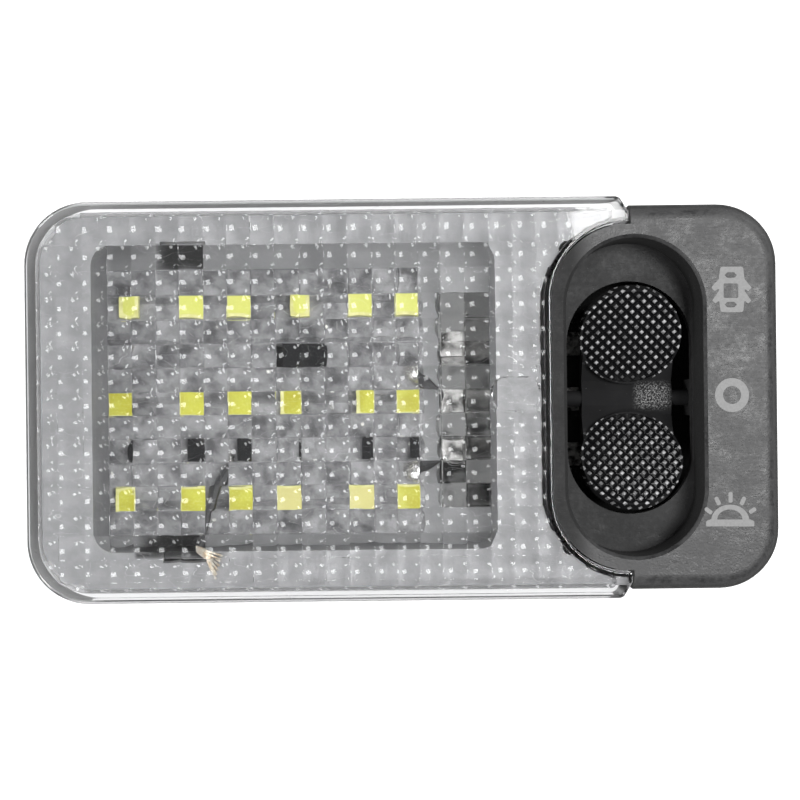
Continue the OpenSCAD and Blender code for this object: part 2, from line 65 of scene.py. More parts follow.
# %% The camera
IMAGE = 800
FACE_Z = 26.0
CAMERA_UP = 200.0
PIXELS_PER_MM = 6.32
UNDER_CAMERA = (400.0, 415.0)
TURN = math.radians(-0.65)
MIDDLE = (403.0, 399.5)


def on_lamp(px, py, level):
    """The point of the lamp at one level, in mm, that a pixel of the photograph shows."""
    shrink = (CAMERA_UP + FACE_Z - level) / CAMERA_UP / PIXELS_PER_MM
    flat = Vector(((px - UNDER_CAMERA[0]) * shrink, (UNDER_CAMERA[1] - py) * shrink))
    foot = Vector(((UNDER_CAMERA[0] - MIDDLE[0]) / PIXELS_PER_MM,
                   (MIDDLE[1] - UNDER_CAMERA[1]) / PIXELS_PER_MM))
    return (foot + flat) @ Matrix.Rotation(TURN, 2).transposed()


foot = on_lamp(*UNDER_CAMERA, FACE_Z)
camera = bpy.data.objects.new("camera", bpy.data.cameras.new("camera"))
bpy.context.collection.objects.link(camera)
camera.location = (foot.x * MM, foot.y * MM, (FACE_Z + CAMERA_UP) * MM)
camera.rotation_euler = (0, 0, TURN)
camera.data.sensor_width = 36
camera.data.lens = 36 * CAMERA_UP * PIXELS_PER_MM / IMAGE
camera.data.shift_y = (UNDER_CAMERA[1] - IMAGE / 2) / IMAGE
camera.data.clip_start = 0.01
bpy.context.scene.camera = camera
print("focal length", round(camera.data.lens, 2), "camera over", [round(v, 2) for v in foot])

# %% [markdown]
# ## A small language for finishes
# A finish is a graph of nodes, but sums are easier to read than wires. The class below wraps one
# socket, so that `grain * 0.2 + 0.4` adds the Math nodes by itself. Colours and vectors never go
# through a Math node, which would turn them grey: they have `tint`, a Mix node. Every other node
# comes from `node`, which takes its type, then its settings, then what its sockets get.

# %% Signals
class Signal:
    """What one socket of a material's node tree gives."""

    def __init__(self, tree, socket):
        self.tree = tree
        self.socket = socket

    def node(self, kind, settings=None, inputs=None, out=0):
        """Adds a node, sets it up, links or fills its inputs and gives one of its outputs."""
        made = self.tree.nodes.new(kind)
        for key, value in (settings or {}).items():
            setattr(made, key, value)
        for key, value in (inputs or {}).items():
            if isinstance(value, Signal):
                self.tree.links.new(value.socket, made.inputs[key])
            elif isinstance(value, tuple) and len(made.inputs[key].default_value) == 4:
                made.inputs[key].default_value = (*value, 1)
            else:
                made.inputs[key].default_value = value
        return Signal(self.tree, made.outputs[out] if len(made.outputs) else None)

    def math(self, operation, first, second=0.0):
        return self.node("ShaderNodeMath", {"operation": operation}, {0: first, 1: second})

    def __add__(self, other):
        return self.math("ADD", self, other)

    def __sub__(self, other):
        return self.math("SUBTRACT", self, other)

    def __mul__(self, other):
        return self.math("MULTIPLY", self, other)

    def __rsub__(self, other):
        return self.math("SUBTRACT", other, self)

    __radd__ = __add__
    __rmul__ = __mul__

    def top(self, other):
        """The larger of two values."""
        return self.math("MAXIMUM", self, other)

    def ramp(self, low, high, to_low=0.0, to_high=1.0):
        """Stretches the values between low and high over to_low to to_high, and holds the ends."""
        return self.node("ShaderNodeMapRange", {"interpolation_type": "SMOOTHSTEP"},
                         {0: self, 1: low, 2: high, 3: to_low, 4: to_high})

    def size(self):
        """The value without its sign."""
        return self.math("ABSOLUTE", self)

    def ridge(self, width):
        """Thin lines where this noise crosses its middle value."""
        return (self - 0.5).size().ramp(0.0, width, 1.0, 0.0)

    def axis(self, letter):
        """One coordinate of a place."""
        return self.node("ShaderNodeSeparateXYZ", {}, {0: self}, letter)

    def near(self, x, y, z, reach):
        """One around a point, falling to nothing `reach` mm away."""
        away = self.node("ShaderNodeVectorMath", {"operation": "DISTANCE"},
                         {0: self, 1: (x, y, z)}, "Value")
        return away.ramp(reach * 0.4, reach, 1.0, 0.0)

    def patch(self, x, y, half_x, half_y, soft=0.2):
        """One inside an upright rectangle seen from above, with a soft border."""
        across = (self.axis("X") - x).size().ramp(half_x - soft, half_x + soft, 1.0, 0.0)
        return across * (self.axis("Y") - y).size().ramp(half_y - soft, half_y + soft, 1.0, 0.0)

    def tint(self, dark, light):
        """A colour between two, this signal saying how far."""
        return self.node("ShaderNodeMix", {"data_type": "RGBA"}, {0: self, 6: dark, 7: light}, 2)

    def grain(self, size, detail=3.0, rough=0.55, stretch=None):
        """Cloudy noise whose blobs are about `size` mm across."""
        place = self
        if stretch:
            place = self.node("ShaderNodeVectorMath", {"operation": "MULTIPLY"},
                              {0: self, 1: Vector(stretch)})
        return place.node("ShaderNodeTexNoise", {},
                          {"Vector": place, "Scale": 1 / size, "Detail": detail,
                           "Roughness": rough})

    def specks(self, size, smooth=False):
        """Distance to the nearest of many points that lie about `size` mm apart."""
        return self.node("ShaderNodeTexVoronoi", {"feature": "SMOOTH_F1" if smooth else "F1"},
                         {"Vector": self, "Scale": 1 / size}, "Distance")


def new_finish(name):
    """An empty material, and the place on the piece in millimetres."""
    material = bpy.data.materials.new(name)
    material.use_nodes = True
    tree = material.node_tree
    tree.nodes.clear()
    metres = Signal(tree, tree.nodes.new("ShaderNodeTexCoord").outputs["Object"])
    place = metres.node("ShaderNodeVectorMath", {"operation": "SCALE"}, {0: metres, "Scale": 1000.0})
    return material, place


def surface(material, place, colour, roughness, relief=None, depth=0.02, **constants):
    """Ends a finish in a Principled shader; relief is a height signal, depth its size in mm."""
    inputs = {"Base Color": colour, "Roughness": roughness}
    if relief is not None:
        inputs["Normal"] = place.node("ShaderNodeBump", {},
                                      {"Height": relief, "Strength": 1.0, "Distance": depth * MM})
    for name, value in constants.items():
        inputs[name.replace("_", " ")] = value
    shader = place.node("ShaderNodeBsdfPrincipled", {}, inputs)
    place.node("ShaderNodeOutputMaterial", {}, {"Surface": shader})
    return material


def dress(node_name, material):
    """Gives a carried-over CAD node its finish."""
    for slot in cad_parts[node_name].material_slots:
        slot.material = material


print("a signal can:", [name for name in vars(Signal) if not name.startswith("_")])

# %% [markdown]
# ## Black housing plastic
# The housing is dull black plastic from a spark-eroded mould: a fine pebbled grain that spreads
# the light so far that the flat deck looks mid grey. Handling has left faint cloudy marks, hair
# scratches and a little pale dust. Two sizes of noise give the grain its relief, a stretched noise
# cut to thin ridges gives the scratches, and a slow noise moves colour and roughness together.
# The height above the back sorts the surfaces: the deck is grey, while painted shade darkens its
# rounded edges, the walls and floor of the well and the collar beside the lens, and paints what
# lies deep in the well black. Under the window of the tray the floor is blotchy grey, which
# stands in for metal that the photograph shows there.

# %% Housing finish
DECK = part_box("housing")[1].z / MM
DENT = (44.1, -21.3, 25.4)
WINDOW = (9.8, 0.4, 7.0, 18.5)


def housing_plastic():
    material, place = new_finish("housing_plastic")
    pebbles = place.specks(0.34, smooth=True)
    fine = place.grain(0.14, 3)
    cloud = place.grain(5.0, 4)
    mottle = place.grain(0.8, 4, 0.7)
    line = place.grain(1.0, 2, 0.5, (0.25, 2.2, 1.0)).ridge(0.005)
    dust = place.specks(1.1).ramp(0.03, 0.08, 1.0, 0.0) * place.grain(4.0, 2).ramp(0.5, 0.6)
    dent = place.near(*DENT, 0.75) * place.grain(0.4, 2).ramp(0.4, 0.6)
    tone = cloud.ramp(0.35, 0.65) * 0.45 + mottle.ramp(0.3, 0.7) * 0.55
    level = place.axis("Z")
    deck = level.ramp(14.5, 16.8)
    wall = level.ramp(17.7, 18.1) * level.ramp(DECK - 1.0, DECK - 0.15, 1.0, 0.0)
    strips = level.ramp(11.0, 13.0, 1.0, 0.0) * place.patch(*WINDOW)
    bright_marks = strips * place.grain(2.6, 3).ramp(0.36, 0.5)
    colour = tone.tint((0.012, 0.012, 0.013), (0.072, 0.072, 0.073))
    collar = place.axis("X").ramp(26.5, 30.5, 1.0, 0.0) * level.ramp(18.0, 19.0)
    # Painted shade: the walls, rounded edges, well floor and collar beside the lens are darkened
    # where less light falls.
    painted_shade = wall.top(collar * 0.8).top(level.ramp(17.5, 17.7, 1.0, 0.0) * 0.5)
    colour = painted_shade.tint(colour, (0.006, 0.006, 0.006))
    # Painted shade: what lies below the deck is painted nearly black.
    colour = deck.tint((0.007, 0.007, 0.007), colour)
    colour = bright_marks.tint(colour, (0.38, 0.38, 0.375))
    colour = ((line * 0.10 + dust * 0.4) * deck).tint(colour, (0.42, 0.42, 0.42))
    relief = pebbles * 0.7 + fine * 0.5 + mottle * 0.8 + line * -0.3 + dent * -8.0
    rough = deck * -0.60 + 0.95 + tone * 0.26 + painted_shade * 0.4
    return surface(material, place, colour, rough, relief, 0.035, Specular_IOR_Level=0.9)


dress("housing", housing_plastic())
print("deck", round(DECK, 2), "mm above the back, a dent in it at", DENT[:2])

# %% [markdown]
# ## Glossy rocker plastic
# The rocker is polished black plastic, so its grooves and points glitter. The flat points of the
# knurl are painted pale as painted highlights, and the saddle between the pads has a rough moulded
# skin that breaks its reflection into sparks, with a painted highlight on one patch of it.

# %% Rocker finish
SADDLE_GLINT = on_lamp(652.5, 395.5, 14.8)
PAD_X = 37.4
PAD_Y = 9.85
PAD_LEAN = math.radians(25)
KNURL = 1.26


def knurl_points(place):
    """One on the flat points between the crossed grooves of both pads."""
    x = place.axis("X") - PAD_X
    y = (place.axis("Y").size() - PAD_Y) * (1 / math.cos(PAD_LEAN))
    marks = []
    for across in (x + y, x - y):
        wave = across.math("PINGPONG", across * (1 / math.sqrt(2)), KNURL / 2)
        marks.append(wave.ramp(0.27, 0.45))
    return marks[0] * marks[1] * place.axis("Z").ramp(15.6, 16.2)


def rocker_plastic():
    material, place = new_finish("rocker_plastic")
    skin = place.grain(0.22, 3)
    cloud = place.grain(3.0, 3)
    low = place.axis("Z").ramp(15.3, 15.9, 1.0, 0.0)
    crumbs = place.specks(0.9).ramp(0.04, 0.09, 1.0, 0.0) * place.grain(2.2, 2).ramp(0.52, 0.6)
    # Painted highlight: a pale patch on the saddle, where the relief of the skin is also stronger.
    saddle_glint = place.patch(SADDLE_GLINT.x, SADDLE_GLINT.y, 2.7, 1.9, 0.9) * place.axis("Z").ramp(15.6, 16.4, 1.0, 0.0)
    saddle_glint = saddle_glint * place.grain(0.26, 3, 0.7).ramp(0.46, 0.62)
    # Painted highlights on the flat points of the knurl.
    painted_glints = knurl_points(place) * place.grain(0.9, 2).ramp(0.35, 0.65, 0.25, 1.0)
    colour = crumbs.tint((0.006, 0.006, 0.007), (0.16, 0.16, 0.16))
    colour = painted_glints.tint(colour, (0.80, 0.80, 0.81))
    colour = saddle_glint.tint(colour, (0.42, 0.42, 0.42))
    rough = cloud * 0.12 + 0.16 + low * 0.62
    relief = skin + saddle_glint * skin * 2.0
    return surface(material, place, colour, rough, relief, 0.02, Specular_IOR_Level=0.6)


dress("rocker", rocker_plastic())
print("highlighted saddle at", [round(v, 1) for v in SADDLE_GLINT])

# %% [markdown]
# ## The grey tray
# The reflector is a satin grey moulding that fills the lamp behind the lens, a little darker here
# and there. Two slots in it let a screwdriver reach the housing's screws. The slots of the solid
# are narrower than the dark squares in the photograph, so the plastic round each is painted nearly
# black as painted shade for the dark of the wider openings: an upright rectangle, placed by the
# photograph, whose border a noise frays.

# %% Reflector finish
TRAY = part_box("reflector")[1].z / MM


def reflector_plastic():
    material, place = new_finish("reflector_plastic")
    cloud = place.grain(7.0, 4)
    blot = place.grain(1.8, 3)
    fine = place.grain(0.5, 3)
    tone = cloud.ramp(0.3, 0.7) * 0.6 + blot.ramp(0.3, 0.7) * 0.4
    colour = tone.tint((0.19, 0.19, 0.195), (0.29, 0.29, 0.295))
    # Painted shade: near-black rectangles round the two slots.
    slots = place.patch(*on_lamp(180, 251, TRAY), 3.7, 1.1, 0.5)
    slots = slots.top(place.patch(*on_lamp(170, 549, TRAY), 5.2, 1.1, 0.5))
    colour = (slots * blot.ramp(0.3, 0.45)).tint(colour, (0.012, 0.012, 0.012))
    return surface(material, place, colour, fine * 0.15 + 0.35, fine + blot, 0.03)


dress("reflector", reflector_plastic())
print("slots in the tray at level", round(TRAY, 2))

# %% [markdown]
# ## The board
# A grey mask is printed over the copper of the board. The copper's edges could be drawn as a real
# layout, but through the pillows they read only as soft steps, so a brick pattern with wide joints
# gives them. Pale crumbs on the mask are partly flux and partly painted highlights, and a strong
# slow relief breaks its reflections.

# %% Board finish
def board_mask():
    material, place = new_finish("board_mask")
    cloud = place.grain(3.2, 4, 0.6)
    blot = place.grain(1.1, 3)
    weave = place.grain(0.5, 2)
    copper = place.node("ShaderNodeTexBrick", {"offset": 0.5},
                        {"Vector": place, "Scale": 1.0, "Color1": (0.0, 0.0, 0.0),
                         "Color2": (0.3, 0.3, 0.3), "Mortar": (1.0, 1.0, 1.0),
                         "Mortar Size": 0.3, "Mortar Smooth": 0.2, "Brick Width": 8.1,
                         "Row Height": 5.4}, "Fac")
    # Pale specks: partly flux crumbs, partly painted highlights.
    bright_marks = place.specks(1.7).ramp(0.06, 0.13, 1.0, 0.0) * blot.ramp(0.45, 0.6)
    tone = cloud.ramp(0.36, 0.64) * 0.6 + blot.ramp(0.38, 0.62) * 0.4
    colour = tone.tint((0.07, 0.07, 0.073), (0.29, 0.29, 0.295))
    colour = (copper * 0.35).tint(colour, (0.045, 0.045, 0.047))
    colour = bright_marks.tint(colour, (0.75, 0.74, 0.70))
    relief = copper * -0.25 + weave * 0.2 + blot * 1.0 + bright_marks * 1.0
    return surface(material, place, colour, weave * 0.15 + 0.17, relief, 0.12)


dress("board", board_mask())
print("board dressed with", len(bpy.data.materials["board_mask"].node_tree.nodes), "nodes")

# %% [markdown]
# ## Light-emitting packages
# Each package is a small box filled with gel: phosphor in silicone, grainy and a little shiny. The
# photograph shows no white border round the gel, so the box itself is stained nearly as yellow.
# The row at +Y is paler than the others, and two packages of the row at -Y have aged to a warm
# buff, so the gel's colour depends on its place.

# %% Package and gel finishes
AGED = [(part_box(name)[0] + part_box(name)[1]) * 0.5 / MM for name in ("led_3_4", "led_3_5")]


def package_plastic():
    material, place = new_finish("package_plastic")
    cloud = place.grain(0.8, 3)
    colour = cloud.ramp(0.3, 0.7).tint((0.50, 0.49, 0.16), (0.64, 0.63, 0.30))
    return surface(material, place, colour, cloud * 0.2 + 0.3, cloud, 0.01)


def phosphor_gel():
    material, place = new_finish("phosphor_gel")
    grit = place.grain(0.12, 3)
    cloud = place.grain(2.5, 2)
    far = place.axis("Y").ramp(6.0, 12.0)
    colour = cloud.ramp(0.35, 0.65).tint((0.38, 0.36, 0.02), (0.47, 0.47, 0.05))
    colour = far.tint(colour, (0.54, 0.56, 0.12))
    colour = grit.ramp(0.55, 0.75).tint(colour, (0.68, 0.69, 0.22))
    pale = place.near(*AGED[0], 3.4).top(place.near(*AGED[1], 3.0))
    colour = (pale * 0.7).tint(colour, (0.55, 0.50, 0.24))
    return surface(material, place, colour, grit * 0.2 + 0.25, grit, 0.01)


dress("led_windows", phosphor_gel())
package = package_plastic()
for row in (1, 2, 3):
    for column in range(1, 7):
        dress(f"led_{row}_{column}", package)
print("aged packages at", [tuple(round(v, 1) for v in spot[:2]) for spot in AGED])

# %% [markdown]
# ## Black components and wires
# The diode and the chip resistors are moulded in dull black resin. Wire insulation is black too,
# smoother, with a soft shine.

# %% Black finishes
def black_component():
    material, place = new_finish("component_black")
    grain = place.grain(0.2, 3)
    colour = grain.tint((0.004, 0.004, 0.005), (0.014, 0.014, 0.015))
    return surface(material, place, colour, grain * 0.3 + 0.5, grain, 0.01, Specular_IOR_Level=0.15)


def wire_skin():
    material, place = new_finish("wire_skin")
    cloud = place.grain(0.6, 3)
    colour = cloud.tint((0.012, 0.012, 0.013), (0.04, 0.04, 0.042))
    return surface(material, place, colour, cloud * 0.2 + 0.35, cloud, 0.01)


black_part = black_component()
skin = wire_skin()
dress("diode", black_part)
for column in range(1, 7):
    dress(f"resistor_{column}", black_part)
for name in ("supply_wire", "return_wire", "ground_wire"):
    dress(name, skin)
print("black finishes on 7 components and 3 wires")

# %% [markdown]
# ## Metals
# Solder, strands, brass, tinned strip and spring wire are one recipe with other numbers: blotches
# of tarnish between two colours, and fine marks from rolling or casting in roughness and relief.

# %% Metal finishes
def metal(name, dark, light, rough, size, depth):
    """A metal with blotches of tarnish and fine rolling or casting marks."""
    material, place = new_finish(name)
    blotch = place.grain(size, 4)
    fine = place.grain(size / 6, 3)
    colour = blotch.ramp(0.35, 0.65).tint(dark, light)
    return surface(material, place, colour, fine * 0.25 + rough, fine, depth, Metallic=1.0)


solder = metal("solder", (0.55, 0.54, 0.52), (0.92, 0.91, 0.89), 0.12, 0.5, 0.03)
copper_wire = metal("copper_wire", (0.86, 0.72, 0.54), (0.98, 0.95, 0.88), 0.15, 0.6, 0.02)
brass = metal("brass_strip", (0.55, 0.40, 0.18), (0.78, 0.62, 0.33), 0.22, 1.2, 0.02)
tinned = metal("tinned_strip", (0.02, 0.02, 0.02), (0.40, 0.395, 0.385), 0.38, 1.3, 0.05)
spring_steel = metal("spring_steel", (0.45, 0.45, 0.47), (0.66, 0.66, 0.68), 0.2, 0.4, 0.01)
dress("solder_joints", solder)
dress("wire_strands", copper_wire)
dress("contact_blade", brass)
dress("plunger_spring", spring_steel)
for name in ("common_terminal", "door_terminal", "lamp_terminal"):
    dress(name, tinned)
print("metals: 5 finishes on 7 nodes")

# %% [markdown]
# ## Foam and acetal
# The foam tape shows its cells at the cut edge, and the plunger is milky acetal. Neither is seen
# unless the lamp is opened, but both are finished as the rest is.

# %% Foam and acetal finishes
def foam():
    material, place = new_finish("foam_cells")
    cells = place.specks(0.35)
    colour = cells.tint((0.55, 0.55, 0.52), (0.80, 0.80, 0.77))
    return surface(material, place, colour, cells * 0.2 + 0.7, cells, 0.1)


def acetal():
    material, place = new_finish("acetal")
    cloud = place.grain(0.7, 3)
    colour = cloud.tint((0.62, 0.61, 0.56), (0.74, 0.73, 0.69))
    return surface(material, place, colour, cloud * 0.2 + 0.25, cloud, 0.01)


dress("foam_tape", foam())
dress("plunger", acetal())
print("finishes:", len(bpy.data.materials))

# %% [markdown]
# ## Outlines with round corners
# Flat moulded shapes start as outlines: closed walks of points in mm. Typed points would need
# hundreds of numbers, so an outline is given by its few corners, each with a radius, and
# `soft_path` walks round it in short even steps.

# %% Round outlines
def arc(cx, cy, r, start, stop, steps):
    """Points on an arc, angles in degrees."""
    angles = [math.radians(start + (stop - start) * i / steps) for i in range(steps + 1)]
    return [(cx + r * math.cos(a), cy + r * math.sin(a)) for a in angles]


def soft_path(corners, step=0.35):
    """A closed outline through (x, y, radius) corners, walked in even short steps."""
    path = []
    count = len(corners)
    for i, (x, y, r) in enumerate(corners):
        here = Vector((x, y))
        if r == 0:
            path.append(here)
            continue
        before = (Vector(corners[i - 1][:2]) - here).normalized()
        after = (Vector(corners[(i + 1) % count][:2]) - here).normalized()
        half = before.angle(after) / 2
        reach = r / math.tan(half)
        middle = here + (before + after).normalized() * (r / math.sin(half))
        a = here + before * reach - middle
        b = here + after * reach - middle
        sweep = a.angle_signed(b)
        steps = max(4, int(abs(sweep) * r / step))
        for k in range(steps + 1):
            turn = Matrix.Rotation(-sweep * k / steps, 2)
            path.append(middle + turn @ a)
    walked = []
    for a, b in zip(path, path[1:] + path[:1]):
        pieces = max(1, int((b - a).length / (step * 3)))
        walked += [a.lerp(b, k / pieces) for k in range(pieces)]
    return walked


print("a 2 mm square with round corners:",
      len(soft_path([(0, 0, 0.5), (2, 0, 0.5), (2, 2, 0.5), (0, 2, 0.5)])), "points")

# %% [markdown]
# ## Covering the space between outlines
# `inward` moves an outline towards its middle, for edges and walls, and `inside` tells which points
# an outline holds. `fill` covers what lies between outlines with triangles: a constrained Delaunay
# triangulation keeps every outline's own edges, which a simple grid could not.

# %% Fills
CLOSE = 1e-5


def inward(path, amount):
    """Moves each point of a counter-clockwise outline inwards by its amount."""
    moved = []
    count = len(path)
    for i in range(count):
        along = (path[(i + 1) % count] - path[i - 1]).normalized()
        d = amount[i] if isinstance(amount, list) else amount
        moved.append(path[i] + Vector((-along.y, along.x)) * d)
    return moved


def inside(points, path):
    """Even-odd test of many points against one closed outline."""
    xs = points[:, 0]
    ys = points[:, 1]
    result = np.zeros(len(points), bool)
    for a, b in zip(path, path[1:] + path[:1]):
        if a[1] == b[1]:
            continue
        crosses = (a[1] > ys) != (b[1] > ys)
        at = (b[0] - a[0]) * (ys - a[1]) / (b[1] - a[1]) + a[0]
        result ^= crosses & (xs < at)
    return result


def fill(paths, extra=(), lines=()):
    """Triangles between closed outlines. Returns the points and the triangles."""
    points = []
    edges = []
    for path in paths:
        first = len(points)
        points += [Vector(p[:2]) for p in path]
        edges += [(first + i, first + (i + 1) % len(path)) for i in range(len(path))]
    shift = len(points)
    points += [Vector(p) for p in extra]
    edges += [(a + shift, b + shift) for a, b in lines]
    flat, _, faces, *_ = delaunay_2d_cdt(points, edges, [], 0, CLOSE)
    corners = np.array([(p.x, p.y) for p in flat])
    middles = corners[np.array(faces)].mean(axis=1)
    keep = np.zeros(len(faces), bool)
    for path in paths:
        keep ^= inside(middles, [(p[0], p[1]) for p in path])
    return corners, [f for f, k in zip(faces, keep) if k]


square = [(0, 0), (2, 0), (2, 2), (0, 2)]
print("the square fills with", len(fill([square])[1]), "triangles")

# %% [markdown]
# ## From points to a piece
# Every made piece goes through one function: it welds the points, drops those that no face uses,
# turns the faces outwards, keeps edges sharp where faces meet at more than `turn` degrees, and
# lets the piece ride on its body.

# %% Pieces
WELD = 1e-7
SHARP = 30


def new_piece(name, points, faces, material, body="lamp", smooth=True, turn=SHARP):
    """Makes a mesh piece from points in mm, welds it, finds its outside and lets it ride."""
    mesh = bpy.data.meshes.new(name)
    mesh.from_pydata([Vector(p) * MM for p in points], [], faces)
    grid = bmesh.new()
    grid.from_mesh(mesh)
    loose = [v for v in grid.verts if not v.link_faces]
    bmesh.ops.delete(grid, geom=loose, context="VERTS")
    bmesh.ops.remove_doubles(grid, verts=grid.verts, dist=WELD)
    bmesh.ops.recalc_face_normals(grid, faces=grid.faces)
    for face in grid.faces:
        face.smooth = smooth
    for edge in grid.edges:
        if len(edge.link_faces) == 2 and edge.calc_face_angle(0) > math.radians(turn):
            edge.smooth = False
    grid.to_mesh(mesh)
    grid.free()
    mesh.materials.append(material)
    piece = bpy.data.objects.new(name, mesh)
    bpy.context.collection.objects.link(piece)
    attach(piece, body)
    return piece


print("edges stay sharp above", SHARP, "degrees, points weld within", WELD, "m")

# %% [markdown]
# ## The clear lens
# The lens is one acrylic moulding: a flat polished face, a rounded edge, a skirt all round, and on
# the inside a sheet of small domes, the pillow optics, that spread the light. Its outer sizes come
# from the CAD box, so that the new mesh seats where the solid does. The cut round the switch well
# is two arcs joined by a straight, between two narrow horns.

# %% Lens sizes
lens_low, lens_high = [Vector(c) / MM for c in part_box("lens")]
FACE = lens_high.z
SKIRT_END = lens_low.z
HALF_L = -lens_low.x
HALF_W = lens_high.y
CUT_X = 35.9
CUT_R = 12.25
CUT_HALF = 15.5
HORN_X = 36.1
HORN_Y = CUT_HALF + CUT_R
SKIRT = 1.6
CUT_WALL = 0.9
print("lens", round(2 * HALF_L, 1), "by", round(2 * HALF_W, 1), "mm, face at", round(FACE, 2))

# %% [markdown]
# ## The pillows
# Booleans of hundreds of spheres would be slow and messy. The inside is a height field instead,
# each point lowered by the sphere of its pillow. The mould's pillows aren't quite even, and what
# each one shows of the board depends on where it lies, so the borders between them are placed by
# the photograph. Domes meet in creases that the mould has rounded to narrow valleys. Each pillow
# leans a little by chance, and a faint slow wave keeps the glints from looking printed.

# %% Pillow grid
CREST = FACE - 2.05
DOME = 0.6
VALLEY = 0.04
WAVE = 0.03
TILT = 0.028
COLUMNS = [6.2, 31.8, 57.3, 83.0, 108.3, 132.2, 156.5, 180.0, 204.2, 227.9, 251.6, 275.9, 300.6,
           324.8, 348.6, 373.3, 396.3, 419.1, 441.6, 465.8, 490.6, 514.0, 537.8, 560.7, 584.5,
           608.3, 632.0]
ROWS = [186.0, 214.0, 242.3, 268.0, 293.3, 318.0, 342.0, 366.0, 389.7, 413.5, 436.5, 460.5,
        483.7, 508.2, 532.7, 556.9, 580.0, 604.0]
PILLOW_LEVEL = 24.66
column_lines = [on_lamp(px, UNDER_CAMERA[1], PILLOW_LEVEL).x for px in COLUMNS]
row_lines = sorted(on_lamp(UNDER_CAMERA[0], py, PILLOW_LEVEL).y for py in ROWS)
PITCH = 3.84
corner = math.hypot(PITCH, PITCH) / 2
DOME_R = (corner ** 2 + DOME ** 2) / (2 * DOME)
print("dome radius", round(DOME_R, 2), "mm")
print(len(column_lines) - 1, "columns and", len(row_lines) - 1, "rows of pillows")


def in_cell(value, lines):
    """The number of a coordinate's cell, how far it lies from the cell's middle in mm of an even
    pitch, and the same with the border between cells smoothed to a narrow valley."""
    k = min(max(bisect(lines, value) - 1, 0), len(lines) - 2)
    share = (value - lines[k]) / (lines[k + 1] - lines[k])
    border = max(min(share, 1 - share), 0)
    if border < VALLEY:
        border = (border ** 2 + VALLEY ** 2) / (2 * VALLEY)
    return k, (share - 0.5) * PITCH, (0.5 - border) * PITCH


def pillow_height(x, y):
    """Height of the pillowed inside of the lens at one point."""
    i, dx, away_x = in_cell(x, column_lines)
    j, dy, away_y = in_cell(y, row_lines)
    reach = away_x ** 2 + away_y ** 2
    sag = math.sqrt(DOME_R ** 2 - reach) - math.sqrt(DOME_R ** 2 - corner ** 2)
    lean = noise.cell_vector(Vector((i + 0.5, j + 0.5, 0.5)))
    tilt = (lean.x - 0.5) * dx + (lean.y - 0.5) * dy
    wave = noise.noise(Vector((x * 0.21, y * 0.21, 3.7)))
    return CREST - sag + WAVE * wave + TILT * tilt


print("crest of the first pillow:", round(pillow_height(-40.0, 10.0), 3))

# %% [markdown]
# ## Outlines of the lens
# The outside edge is rounded by 1 mm where hands and cloths meet it, and by 0.3 mm at the cut and
# on the horns, so each point of the outline carries its own radius, smoothed along the way. The
# hollow inside the skirt has an outline of its own, and so has the flat oval mark where the
# injection gate was trimmed.

# %% Lens outlines
def lens_outline():
    """The outline of the lens and, point by point, how round its edge is."""
    corners = [(HORN_X, HALF_W - 2.6, 0.9), (HORN_X - 1.5, HALF_W, 1.2), (-HALF_L, HALF_W, 10),
               (-HALF_L, -HALF_W, 10), (HORN_X - 1.5, -HALF_W, 1.2),
               (HORN_X, -HALF_W + 2.6, 0.9), (HORN_X, -HORN_Y, 0.3),
               (CUT_X - CUT_R, -HORN_Y, CUT_R), (CUT_X - CUT_R, HORN_Y, CUT_R),
               (HORN_X, HORN_Y, 0.3)]
    path = soft_path(corners)
    edge = []
    for p in path:
        on_cut = abs(p.y) < HORN_Y + 0.35 and p.x > CUT_X - CUT_R - 0.2
        edge.append(0.3 if on_cut or p.x > HORN_X - 0.2 else 1.0)
    for _ in range(12):
        edge = [(edge[i - 1] + edge[i] * 2 + edge[(i + 1) % len(edge)]) / 4
                for i in range(len(edge))]
    return path, edge


def hollow_outline():
    """The outline of the hollow inside the skirt."""
    r = CUT_R + CUT_WALL
    end = HORN_X - 2.4
    side = HALF_W - SKIRT
    start = math.degrees(math.acos((end - 0.8 - CUT_X) / r))
    lower = arc(CUT_X, -CUT_HALF, r, -start, -180, 40)
    upper = arc(CUT_X, CUT_HALF, r, 180, start, 40)
    inner_y = CUT_HALF + math.sqrt(r * r - (end - CUT_X) ** 2)
    corners = [(end, side, 0.7), (-HALF_L + SKIRT, side, 10 - SKIRT),
               (-HALF_L + SKIRT, -side, 10 - SKIRT), (end, -side, 0.7), (end, -inner_y, 0.6)]
    corners += [(x, y, 0) for x, y in lower + upper]
    corners += [(end, inner_y, 0.6)]
    return soft_path(corners)


GATE = (18.0, 0.7, 4.0, 2.95)
GATE_FLAT = 23.52
GATE_STEP = 0.3
SHARES = [0.0, 0.02, 0.045, 0.12, 0.21, 0.31, 0.41, 0.5, 0.59, 0.69, 0.79, 0.88, 0.955, 0.98]


def stations(lines):
    """Where the mesh has points across a row of cells: closer together near the borders."""
    places = [a + (b - a) * share for a, b in zip(lines, lines[1:]) for share in SHARES]
    return places + [lines[-1]]


def gate_outline(shrink):
    """The flat mark that the injection gate left, as an outline."""
    x, y, half_l, half_w = GATE
    a = half_l - shrink
    b = half_w - shrink
    r = 2.5 - shrink
    return soft_path([(x + a, y + b, r), (x - a, y + b, r), (x - a, y - b, r), (x + a, y - b, r)])


print("lens outline:", len(lens_outline()[0]), "points, hollow:", len(hollow_outline()), "points")

# %% [markdown]
# ## Outside of the lens
# The skirt and its rounded edge are rings of points over the outline: each ring lies a little
# further in and higher. One more ring just inside keeps the shading of the face flat, and a fill
# closes the face.

# %% Lens outside
EDGE_STEPS = 6


